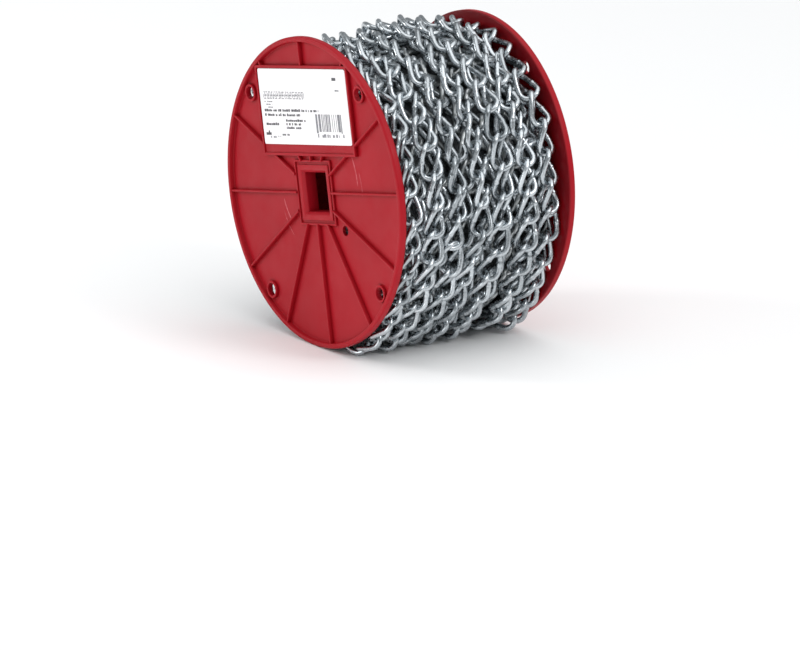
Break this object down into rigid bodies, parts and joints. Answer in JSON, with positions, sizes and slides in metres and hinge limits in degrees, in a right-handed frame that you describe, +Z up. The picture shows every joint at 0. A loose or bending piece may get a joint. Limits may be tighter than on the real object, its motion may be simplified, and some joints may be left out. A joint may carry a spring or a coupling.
{
  "type": "reel of twist-link steel chain",
  "caption": "Moulded plastic reel with ribbed flanges and a square through bore, wound full of zinc-plated twist-link steel chain, resting on its flange rims.",
  "frame": {"origin": "on the floor, midway between the flanges and straight below the reel's axis", "axes": "+Z up, reel axis along Y, labelled flange facing -Y"},
  "size_m": [0.203, 0.1358, 0.2041],
  "materials": {
    "red_plastic": "satin moulded plastic",
    "paper": "matt white label",
    "zinc_steel": "bright zinc plate"
  },
  "bodies": {
    "root": {"flange_front": "red_plastic", "flange_back": "red_plastic", "barrel": "red_plastic", "label": "paper", "chain_outer_layer": "zinc_steel", "chain_inner_layers": "zinc_steel"}
  },
  "joints": []
}
